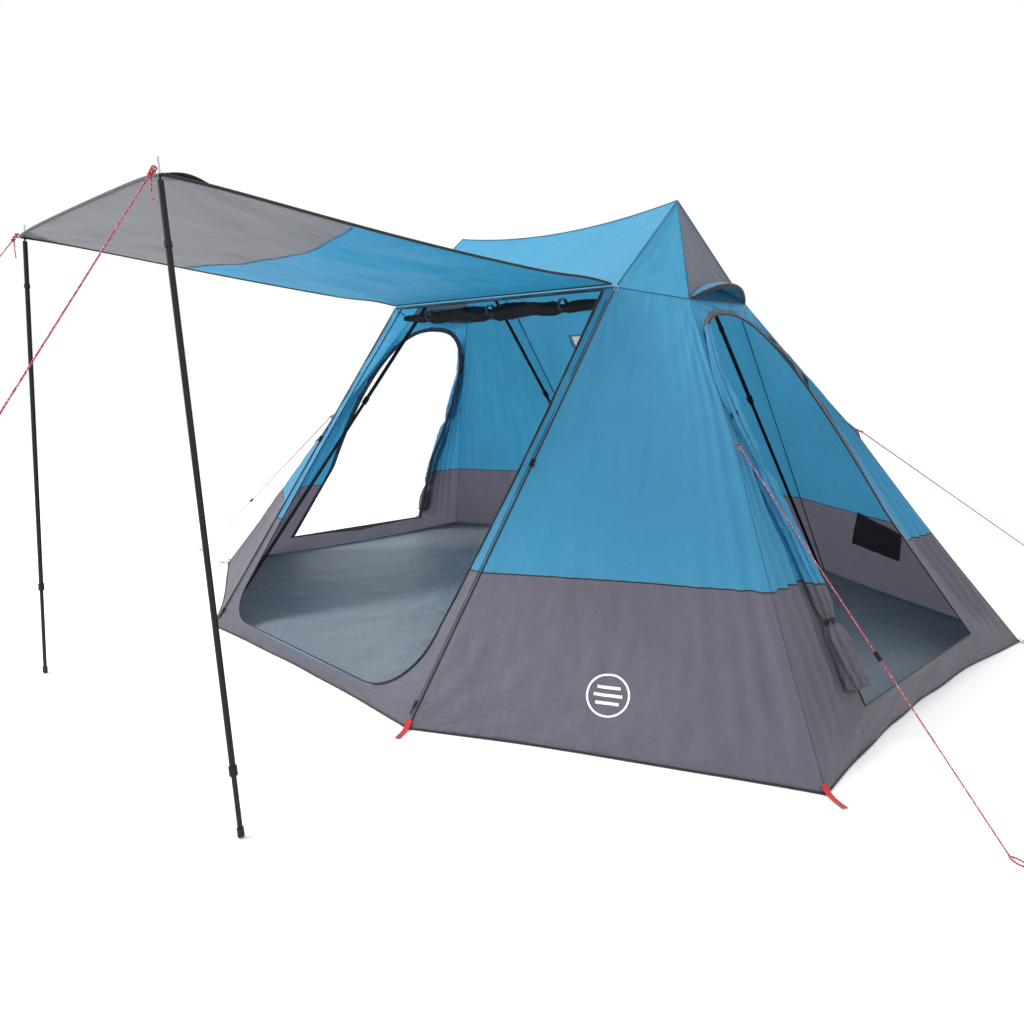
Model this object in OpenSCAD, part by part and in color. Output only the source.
// Pop-up family tent: a sewn fabric shell on two folding A-frames, with a front awning on two poles.
// The ridge runs along X, the front faces -Y, Z = 0 is the ground and the origin is the tent's centre.

/* [Plan] */
// Half width of the front and back walls at the ground
front_half = 905; // [860:5:950]
// Distance from the centre to the front and back walls at the ground
wall_y = 1805; // [1780:5:1850]
// Distance from the centre to each end wall at the ground
end_x = 2290; // [2240:5:2340]
// Half width of the end walls at the ground
end_half = 1095; // [1050:5:1150]

/* [Roof] */
// Distance from the centre to each peak
peak_x = 842; // [830:2:860]
// Height of the peaks
peak_z = 2245; // [2230:5:2280]
// How far the ridge sags between the peaks
ridge_sag = 65; // [30:5:90]
// Half length of the eaves
eave_x = 880; // [865:5:900]
// Distance from the centre to the eaves
eave_y = 525; // [510:5:540]
// Height of the eaves
eave_z = 1785; // [1770:5:1800]
// Distance from the centre to the end walls' top edges
end_top_x = 1105; // [1090:5:1130]
// Half width of the end walls' top edges
end_top_y = 250; // [235:5:265]
// Height of the end walls' top edges
end_top_z = 1730; // [1715:5:1745]

/* [Fabric] */
// Fabric thickness as a share of the shell's size, with its seams
skin = 0.003; // [0.002:0.0005:0.004]
// Thickness of the groundsheet
sheet_t = 3; // [2:0.5:4]
// Width of the webbing
webbing_w = 25; // [20:1:30]

/* [Openings] */
// Half width of the front door
door_half = 800; // [760:5:820]
// Height of the front door's sill, measured up the wall
door_sill = 92; // [80:2:120]
// Height of the front door's top, measured up the wall
door_top = 2180; // [2150:5:2185]
// Radius of the front door's lower corners
door_round = 230; // [150:10:300]
// Half width of the end doors at the sill
end_door_half = 600; // [560:5:620]
// Half width of the end doors where the arch starts
end_door_arch_half = 455; // [430:5:470]
// Height of the end doors' sill, where their arch starts, and their top
end_door_levels = [165, 850, 2020]; // [100:5:2045]
// Half width of the back window
window_half = 455; // [400:5:500]
// Height of the back window's bottom and top edges
window_levels = [1450, 2000]; // [1300:10:2050]

/* [Frame] */
// Outer radius of the upper leg tubes
upper_r = 11; // [10.5:0.5:12]
// Outer radius of the lower leg tubes
lower_r = 9.5; // [9:0.5:9.5]
// Length of the upper leg tubes, from the pivot
upper_len = 1230; // [1200:10:1260]
// How far the lower leg tubes reach into the upper ones
leg_lap = 170; // [150:10:170]
// Radius of the pivot pins
pin_r = 4; // [3.5:0.5:4.5]

/* [Awning] */
// Half width of the awning's outer edge
awning_half = 789; // [770:1:800]
// Distance from the centre to the awning's outer edge
awning_y = 2580; // [2560:5:2600]
// Height of the awning's outer edge
awning_z = 2000; // [1980:5:2020]
// Thickness of the awning
awning_t = 4; // [3:0.5:4]
// Outer radius of the awning poles
pole_r = 9.5; // [9:0.5:10]
// Where the right and left awning poles stand
pole_feet = [[1160, -2620], [-780, -2680]];

/* [Guy lines] */
// Radius of the guy-lines
guy_r = 2.5; // [2:0.5:2.5]
// How far up the corner seams the guy-lines pull
guy_height = 0.63; // [0.6:0.01:0.66]
// Where the four wall guy-lines meet the ground
guy_ends = [[2820, -1050], [2950, 1340], [-2820, 1050], [-2820, -1050]];
// Length of each awning guy-line
awning_guy_len = 1000; // [600:10:1200]

/* [Hidden] */
$fn = 48;

blue = [0.30, 0.58, 0.74];
grey = [0.40, 0.40, 0.43];
mesh_black = [0.08, 0.08, 0.09];
steel_black = [0.06, 0.06, 0.06];
cord_red = [0.62, 0.13, 0.16];
silver = [0.75, 0.75, 0.75];

// The corners of the shell's +X +Y quarter
foot = [front_half, wall_y, 0];
end_foot = [end_x, end_half, 0];
eave = [eave_x, eave_y, eave_z];
end_top = [end_top_x, end_top_y, end_top_z];
peak = [peak_x, 0, peak_z];
ridge_mid = [0, 0, peak_z - ridge_sag];
front_slope = atan2(eave_z, wall_y - eave_y);
end_slope = atan2(end_top_z, end_x - end_top_x);

// The frame: hubs hang under the peaks, and the legs turn on pins beside them
hub_x = 812;
hub_r = 24;
pivot_y = 40;
pivot_z = 2160;
ear_t = 4;
tongue_t = 10;
ear_gap = tongue_t + 0.6;
turn_gap = 0.05;
slide_gap = 0.08;
plug_end = 52;
leg_foot = [893, 1762, 12];
leg_top = [hub_x, pivot_y, pivot_z];
leg_len = norm(leg_foot - leg_top);
cap_r = 13;
cap_h = 38;

// The awning turns about a line just outside the eave
hinge_out = 9;
hinge_up = 8;
pivot_drop = 16;
hem = 12;
awning_pitch = atan2(awning_z - eave_z - hinge_up, awning_y - eave_y - hinge_out);
awning_reach = norm([awning_z - eave_z - hinge_up, awning_y - eave_y - hinge_out]);
rod_r = 8;
spike_r = 3.5;
pole_out = [190, 400];

// How square the end doors' arch is: 1 is an ellipse, less is squarer
arch_power = 0.8;

// The rolled doors, as points across and up their walls, and the pocket, as shares across and up its wall
roll_r = 24;
roll_out = 32;
roll_route = [[-640, 235], [-530, 760], [-490, 1240], [-420, 1640], [-290, 1915]];
roll_ties = [0, 2];
mesh_roll_r = 28;
mesh_roll_in = 36;
mesh_roll_up = 2148;
mesh_roll_half = 770;
mesh_roll_ties = [-540, 0, 540];
tie_w = 22;
tie_t = 2.4;
pocket_spots = [[0.348, 0.182], [0.645, 0.193], [0.450, 0.333], [0.200, 0.292]];

// The vent hood's rise up the gable, its reach out from it, and its lip's rise
hood_rise = 85;
hood_reach = 90;
hood_lip = 30;
hood_gap = 5;
hood_t = 3;

// The front zips run beside the wall's side seams, just outside the cloth
zip_in = 14;
zip_out = 9;

quarters = [[1, -1], [1, 1], [-1, 1], [-1, -1]];
tab_corners = [each [for (q = quarters) [q.x * end_foot.x, q.y * end_foot.y, 0]],
    foot, [-foot.x, foot.y, 0], [foot.x, -foot.y, 0]];

function inside(p, k = 1) = p * (1 - k * skin);
function unit(v) = v / norm(v);
function mix(a, b, t) = a + (b - a) * t;
function quarter_point(p, q) = [p.x * q.x, p.y * q.y, p.z];
// A point given in the awning's plane, where y runs inward from the outer side and is 0 at the hinge
function awning_point(p) = [p.x,
    -eave_y - hinge_out + p.y * cos(awning_pitch) + p.z * sin(awning_pitch),
    eave_z + hinge_up - p.y * sin(awning_pitch) + p.z * cos(awning_pitch)];
function pole_top(s) = awning_point([s * awning_half, hem - awning_reach, -pivot_drop]);
function pole_end(s) = [each pole_feet[s > 0 ? 0 : 1], 0];
function guy_start(q) =
    let (p = mix(end_foot, end_top, guy_height)) quarter_point(p + 60 * unit([p.x, p.y, 0]), q);
function guy_end(i) = [each guy_ends[i], guy_r + 1];
function awning_guy_start(s) = [s * (awning_half + 18), -awning_y - 8, awning_z + 6];
function awning_guy_dir(s) = unit([s * 640, -1535, -2100]);
function zip_point(s, up) = let (side = foot.x - (foot.x - eave.x) * up / (eave.z / sin(front_slope)))
    [s * (side - zip_in), -wall_y + up * cos(front_slope) - zip_out * sin(front_slope),
        up * sin(front_slope) + zip_out * cos(front_slope)];

// Mirrors a quarter's piece to the quarter q
module to_quarter(q) {
    if (q.x < 0) mirror([1, 0, 0]) to_quarter([1, q.y]) children();
    else if (q.y < 0) mirror([0, 1, 0]) children();
    else children();
}

// Turns a piece of the right or front side to the left or back side
module to_side(s) rotate([0, 0, s > 0 ? 0 : 180]) children();

// Puts a piece's Z axis on the line from p to q, at distance s from p
module along(p, q, s = 0) {
    d = q - p;
    translate(p) rotate([0, acos(d.z / norm(d)), atan2(d.y, d.x)]) translate([0, 0, s]) children();
}

module rod(p, q, r) along(p, q) cylinder(h = norm(q - p), r = r);

// The plane of the front wall, and that of the right end wall: X across, Y up the wall, Z outward
module on_front() translate([0, -wall_y, 0]) rotate([front_slope, 0, 0]) children();
module on_end() translate([end_x, 0, 0]) rotate([0, 0, 90]) rotate([end_slope, 0, 0]) children();

// A flat panel between its outer corners, counter-clockwise from outside, and the inside of the shell
module panel(v) {
    n = len(v);
    polyhedron([each v, for (p = v) inside(p)],
        [[for (i = [n - 1:-1:0]) i], [for (i = [n:2 * n - 1]) i],
         for (i = [0:n - 1]) let (j = (i + 1) % n) [i, j, n + j, n + i]]);
}

// A curved panel ruled between two edges, a to b and d to c, with n steps each way
module ruled_panel(a, b, c, d, n = 6, in = 0) {
    m = n + 1;
    outer = [for (j = [0:n], i = [0:n]) inside(mix(mix(a, b, i / n), mix(d, c, i / n), j / n), in)];
    rim = [for (i = [0:n - 1]) i, for (j = [0:n - 1]) j * m + n,
        for (i = [n:-1:1]) n * m + i, for (j = [n:-1:1]) j * m];
    polyhedron([each outer, for (p = outer) inside(p)], [
        for (j = [0:n - 1], i = [0:n - 1]) let (k = j * m + i)
            each [[k + m, k + m + 1, k], [k + m + 1, k + 1, k]],
        for (j = [0:n - 1], i = [0:n - 1]) let (k = j * m + i + m * m)
            each [[k, k + m + 1, k + m], [k, k + 1, k + m + 1]],
        for (i = [0:len(rim) - 1]) let (p = rim[i], q = rim[(i + 1) % len(rim)])
            [p, q, q + m * m, p + m * m]]);
}

// A cord through the points of a route
module cord(route, r, sides = 8) {
    n = len(route);
    rings = [for (i = [0:n - 1])
        let (d = unit(route[min(i + 1, n - 1)] - route[max(i - 1, 0)]),
            u = unit(cross(d, [0, 0, 1])), w = cross(d, u))
        for (k = [0:sides - 1]) route[i] + r * (cos(360 * k / sides) * u + sin(360 * k / sides) * w)];
    last = (n - 1) * sides;
    polyhedron(rings, [[for (k = [0:sides - 1]) k], [for (k = [sides - 1:-1:0]) last + k],
        for (i = [0:n - 2], k = [0:sides - 1]) let (a = i * sides + k, b = i * sides + (k + 1) % sides)
            [b, a, a + sides, b + sides]]);
}

// A ring with a square section around the Z axis
module band(r_in, r_out, h) rotate_extrude() translate([r_in, -h / 2]) square([r_out - r_in, h]);

module groundsheet() {
    a = inside(foot, 2);
    b = inside(end_foot, 2);
    color(grey) linear_extrude(sheet_t) polygon([[a.x, a.y], [b.x, b.y], [b.x, -b.y], [a.x, -a.y],
        [-a.x, -a.y], [-b.x, -b.y], [-b.x, b.y], [-a.x, a.y]]);
}

module door_outline() {
    translate([-door_half, door_sill + door_round])
        square([2 * door_half, door_top - door_sill - door_round]);
    translate([-door_half + door_round, door_sill]) square([2 * (door_half - door_round), 2 * door_round]);
    for (s = [-1, 1]) translate([s * (door_half - door_round), door_sill + door_round]) circle(door_round);
}

module front_panel() panel([[-foot.x, -foot.y, 0], [foot.x, -foot.y, 0],
    [eave.x, -eave.y, eave.z], [-eave.x, -eave.y, eave.z]]);

module front_wall() {
    color(grey) difference() {
        front_panel();
        on_front() translate([0, 0, -30]) linear_extrude(60) door_outline();
    }
}

module window_outline() translate([-window_half, window_levels[0]])
    square([2 * window_half, window_levels[1] - window_levels[0]]);

module back_wall() {
    color(blue) to_side(-1) difference() {
        front_panel();
        on_front() translate([0, 0, -30]) linear_extrude(60) window_outline();
    }
}

module window_mesh() color(silver) to_side(-1) on_front() translate([0, 0, -3])
    linear_extrude(2) window_outline();

module corner_wall(q) color(blue) to_quarter(q) ruled_panel(end_foot, foot, eave, end_top);

module end_door_outline() {
    arch = [for (a = [0:10:180]) [end_door_arch_half * sign(cos(a)) * pow(abs(cos(a)), arch_power),
        end_door_levels[1] + (end_door_levels[2] - end_door_levels[1]) * pow(sin(a), arch_power)]];
    polygon([[-end_door_half, end_door_levels[0]], [end_door_half, end_door_levels[0]], each arch]);
}

module end_wall(s) {
    color(blue) to_side(s) difference() {
        panel([[end_foot.x, -end_foot.y, 0], end_foot, end_top, [end_top.x, -end_top.y, end_top.z]]);
        on_end() translate([0, 0, -30]) linear_extrude(60) end_door_outline();
    }
}

module roof() {
    left = [-eave.x, eave.y, eave.z];
    panel([eave, left, ridge_mid]);
    panel([left, [-peak.x, 0, peak.z], ridge_mid]);
    panel([eave, ridge_mid, peak]);
}

module roof_front() color(blue) to_side(-1) roof();
module roof_back() color(blue) roof();
module hip_panels() color(blue) for (q = quarters) to_quarter(q) panel([end_top, eave, peak]);
module gable(s) color(grey) to_side(s) panel([[end_top.x, -end_top.y, end_top.z], end_top, peak]);

// An arched hood that stands off the gable above the end door, open below
module vent_hood(s) {
    half = end_top_y - 12;
    up = unit(peak - [end_top.x, 0, end_top.z]);
    out = [up.z, 0, -up.x];
    base = [end_top.x, 0, end_top.z];
    steps = [-6:6];
    function arc(i) = 1 - pow(i / 6, 2);
    function high(i) = base + [0, half * i / 6, 0] + up * (14 + hood_rise * arc(i)) + out * hood_gap;
    function low(i) = base + [0, half * i / 6, 0] + up * (8 + hood_lip * arc(i))
        + out * (hood_gap + hood_reach * arc(i));
    n = len([for (i = steps) i]);
    shift = (out + up) * hood_t;
    pts = [each [for (i = steps) high(i)], each [for (i = steps) low(i)],
        each [for (i = steps) high(i) + shift], each [for (i = steps) low(i) + shift]];
    color(blue) to_side(s) polyhedron(pts, [
        for (i = [0:n - 2]) each [[i, i + 1, n + i], [i + 1, n + i + 1, n + i],
            [2 * n + i, 3 * n + i, 2 * n + i + 1], [2 * n + i + 1, 3 * n + i, 3 * n + i + 1],
            [i + 1, i, 2 * n + i, 2 * n + i + 1], [n + i, n + i + 1, 3 * n + i + 1, 3 * n + i]],
        [0, n, 3 * n, 2 * n], [2 * n - 1, n - 1, 3 * n - 1, 4 * n - 1]]);
}

// The end doors are rolled up beside their openings, and the front mesh door under its eave
module rolled_door(s) color(grey) to_side(s) on_end()
    cord([for (p = roll_route) [each p, roll_out]], roll_r, 16);

module rolled_mesh_door() color(mesh_black) on_front()
    rod([-mesh_roll_half, mesh_roll_up, -mesh_roll_in], [mesh_roll_half, mesh_roll_up, -mesh_roll_in],
        mesh_roll_r);

// The webbing ties around the rolls
module roll_toggles() {
    color(steel_black) {
        for (x = mesh_roll_ties) on_front() translate([x, mesh_roll_up, -mesh_roll_in]) rotate([0, 90, 0])
            band(mesh_roll_r + 0.1, mesh_roll_r + tie_t, tie_w);
        for (s = [-1, 1], i = roll_ties) to_side(s) on_end()
            along([each roll_route[i], roll_out], [each roll_route[i + 1], roll_out],
                norm(roll_route[i + 1] - roll_route[i]) / 2) band(roll_r + 0.1, roll_r + tie_t, tie_w);
    }
}

// The pocket hangs inside the back right corner wall
module mesh_pocket() {
    function spot(p) = mix(mix(end_foot, foot, p.x), mix(end_top, eave, p.x), p.y);
    color(mesh_black) ruled_panel(spot(pocket_spots[0]), spot(pocket_spots[1]), spot(pocket_spots[2]),
        spot(pocket_spots[3]), 1, 5);
}

module hub(s) {
    color(steel_black) to_side(s) difference() {
        union() {
            translate([hub_x, 0, pivot_z - 34]) cylinder(h = 79, r = hub_r);
            translate([hub_x, 0, pivot_z + 40]) cylinder(h = 20, r = 8);
            for (e = [-1, 1]) translate([hub_x + e * (ear_gap + ear_t) / 2, 0, pivot_z]) {
                translate([-ear_t / 2, -pivot_y, -11]) cube([ear_t, 2 * pivot_y, 22]);
                for (y = [-pivot_y, pivot_y]) translate([-ear_t / 2, y, 0]) rotate([0, 90, 0])
                    cylinder(h = ear_t, r = 11);
            }
        }
        for (y = [-pivot_y, pivot_y]) translate([hub_x - 20, y, pivot_z]) rotate([0, 90, 0])
            cylinder(h = 40, r = pin_r + turn_gap);
    }
}

module hub_pins() {
    half = ear_gap / 2 + ear_t + 0.2;
    color(silver) for (q = quarters) to_quarter(q) translate(leg_top) rotate([0, 90, 0]) {
        translate([0, 0, -half]) cylinder(h = 2 * half, r = pin_r);
        for (e = [-half - 2, half]) translate([0, 0, e]) cylinder(h = 2, r = pin_r + 2.5);
    }
}

module leg_upper(q) {
    color(steel_black) to_quarter(q) difference() {
        union() {
            translate(leg_top) rotate([0, 90, 0]) translate([0, 0, -tongue_t / 2])
                cylinder(h = tongue_t, r = upper_r);
            rod(leg_top, mix(leg_top, leg_foot, 45 / leg_len), tongue_t / 2);
            along(leg_top, leg_foot, 38) cylinder(h = upper_len - 38, r = upper_r);
            along(leg_top, leg_foot, leg_len / 4 - 12) cylinder(h = 24, r = upper_r + 2.5);
        }
        along(leg_top, leg_foot, plug_end) cylinder(h = upper_len, r = lower_r + slide_gap);
        translate(leg_top - [20, 0, 0]) rotate([0, 90, 0]) cylinder(h = 40, r = pin_r + turn_gap);
    }
}

// The clamp that holds the lower leg out, with its thumb lever
module leg_lock(q) {
    color(steel_black) to_quarter(q) along(leg_top, leg_foot, upper_len - 50) difference() {
        union() {
            cylinder(h = 46, r = upper_r + 4);
            translate([-5, 0, 6]) cube([10, upper_r + 9, 34]);
        }
        translate([0, 0, -1]) cylinder(h = 50, r = upper_r);
    }
}

module leg_lower(q) {
    color(steel_black) to_quarter(q) along(leg_top, leg_foot, upper_len - leg_lap) {
        cylinder(h = leg_len - upper_len + leg_lap, r = lower_r);
        translate([0, 0, leg_len - upper_len + leg_lap - cap_h]) cylinder(h = cap_h, r = cap_r);
    }
}

module awning() {
    inner = eave_x - 12;
    notch = pole_r + 4;
    color(blue) translate([0, -eave_y - hinge_out, eave_z + hinge_up]) rotate([-awning_pitch, 0, 0])
        translate([0, 0, -awning_t / 2]) linear_extrude(awning_t) difference() {
            polygon([[-inner, -10], [-awning_half - 14, -awning_reach],
                [awning_half + 14, -awning_reach], [inner, -10]]);
            for (s = [-1, 1]) translate([s * awning_half - notch, -awning_reach - 1])
                square([2 * notch, hem + notch]);
        }
}

// The awning pole's main tube, with the spike that stands through the awning's corner
module pole(s) {
    top = pole_top(s);
    end = pole_end(s);
    len = norm(end - top) - pole_out[s > 0 ? 0 : 1];
    color(steel_black) difference() {
        union() {
            along(top, end, 12) cylinder(h = len - 12, r = pole_r);
            along(top, end, -58) cylinder(h = 80, r = spike_r);
            along(top, end, 195) cylinder(h = 18, r = pole_r + 2.5);
        }
        along(top, end, 240) cylinder(h = len, r = rod_r + slide_gap);
    }
}

module pole_lock(s) {
    top = pole_top(s);
    end = pole_end(s);
    color(steel_black) along(top, end, norm(end - top) - pole_out[s > 0 ? 0 : 1] - 32) difference() {
        cylinder(h = 30, r = pole_r + 3.5);
        translate([0, 0, -1]) cylinder(h = 32, r = pole_r);
    }
}

module pole_foot(s) {
    top = pole_top(s);
    end = pole_end(s);
    len = norm(end - top);
    reach = pole_out[s > 0 ? 0 : 1] + 200;
    color(steel_black) {
        along(top, end, len - reach) cylinder(h = reach - 3, r = rod_r);
        along(top, end, len - 31) cylinder(h = 28, r = 11);
    }
}

module peg_tabs() {
    color(cord_red) for (c = tab_corners) translate(c) rotate([0, 0, atan2(c.y, c.x)]) linear_extrude(2)
        difference() {
            translate([2, -webbing_w / 2]) square([88, webbing_w]);
            translate([70, 0]) circle(6.5);
        }
}

module tab_eyelets() {
    color(silver) for (c = tab_corners) translate(c) rotate([0, 0, atan2(c.y, c.x)]) translate([70, 0, 0])
        difference() {
            union() {
                cylinder(h = 2, r = 6.5);
                translate([0, 0, 2]) cylinder(h = 1.2, r = 9);
            }
            translate([0, 0, -1]) cylinder(h = 6, r = 5);
        }
}

// A triangle of cloth on each corner seam that the wall guy-line pulls on
module guy_patches() {
    run = unit(end_top - end_foot);
    seam = mix(end_foot, end_top, guy_height);
    out = unit([seam.x, seam.y, 0]);
    color(grey) for (q = quarters) to_quarter(q) hull()
        for (p = [seam - 45 * run + 12 * out, seam + 45 * run + 12 * out, seam + 52 * out])
            translate(p) sphere(1.5, $fn = 8);
}

module eave_rings() {
    color(silver) for (s = [-1, 1])
        translate([s * (eave_x + 14), -eave_y - 14, eave_z - 8]) rotate([90, 0, 0])
        rotate_extrude() translate([11, 0]) circle(1.6, $fn = 16);
}

module guy(i) color(cord_red) cord([for (t = [0, 1]) mix(guy_start(quarters[i]), guy_end(i), t)], guy_r);

module awning_guy(s) {
    a = awning_guy_start(s);
    color(cord_red) cord([a, a + awning_guy_len * awning_guy_dir(s)], guy_r);
}

// A plastic tensioner that slides on a wall guy-line
module runner(i) {
    a = guy_start(quarters[i]);
    b = guy_end(i);
    color(steel_black) along(a, b, norm(b - a) * 0.6) difference() {
        translate([-7, -4, -18]) cube([14, 8, 36]);
        translate([0, 0, -20]) cylinder(h = 40, r = guy_r + 0.5);
    }
}

module zip_slider(s) {
    color(steel_black) along(zip_point(s, 60), zip_point(s, 2060), 40) {
        translate([-4, -6, -14]) cube([8, 12, 28]);
        translate([-3, -3, -44]) cube([3, 6, 30]);
    }
}

groundsheet();
front_wall();
back_wall();
corner_wall(quarters[0]);  // corner_wall_front_right
corner_wall(quarters[1]);  // corner_wall_back_right
corner_wall(quarters[2]);  // corner_wall_back_left
corner_wall(quarters[3]);  // corner_wall_front_left
end_wall(1);  // end_wall_right
end_wall(-1);  // end_wall_left
roof_front();
roof_back();
hip_panels();
gable(1);  // gable_right
gable(-1);  // gable_left
vent_hood(1);  // vent_hood_right
vent_hood(-1);  // vent_hood_left
rolled_door(1);  // rolled_door_right
rolled_door(-1);  // rolled_door_left
rolled_mesh_door();
roll_toggles();
window_mesh();
mesh_pocket();
hub(1);  // hub_right
hub(-1);  // hub_left
hub_pins();
peg_tabs();
tab_eyelets();
guy_patches();
eave_rings();
guy(0);  // guy_front_right
guy(1);  // guy_back_right
guy(2);  // guy_back_left
guy(3);  // guy_front_left
awning_guy(1);  // guy_awning_right
awning_guy(-1);  // guy_awning_left
leg_upper(quarters[0]);  // leg_upper_front_right
leg_upper(quarters[1]);  // leg_upper_back_right
leg_upper(quarters[2]);  // leg_upper_back_left
leg_upper(quarters[3]);  // leg_upper_front_left
leg_lock(quarters[0]);  // leg_lock_front_right
leg_lock(quarters[1]);  // leg_lock_back_right
leg_lock(quarters[2]);  // leg_lock_back_left
leg_lock(quarters[3]);  // leg_lock_front_left
leg_lower(quarters[0]);  // leg_lower_front_right
leg_lower(quarters[1]);  // leg_lower_back_right
leg_lower(quarters[2]);  // leg_lower_back_left
leg_lower(quarters[3]);  // leg_lower_front_left
awning();
pole(1);  // pole_right
pole(-1);  // pole_left
pole_lock(1);  // pole_lock_right
pole_lock(-1);  // pole_lock_left
pole_foot(1);  // pole_foot_right
pole_foot(-1);  // pole_foot_left
runner(0);  // runner_front_right
runner(1);  // runner_back_right
runner(2);  // runner_back_left
runner(3);  // runner_front_left
zip_slider(1);  // zip_slider_right
zip_slider(-1);  // zip_slider_left
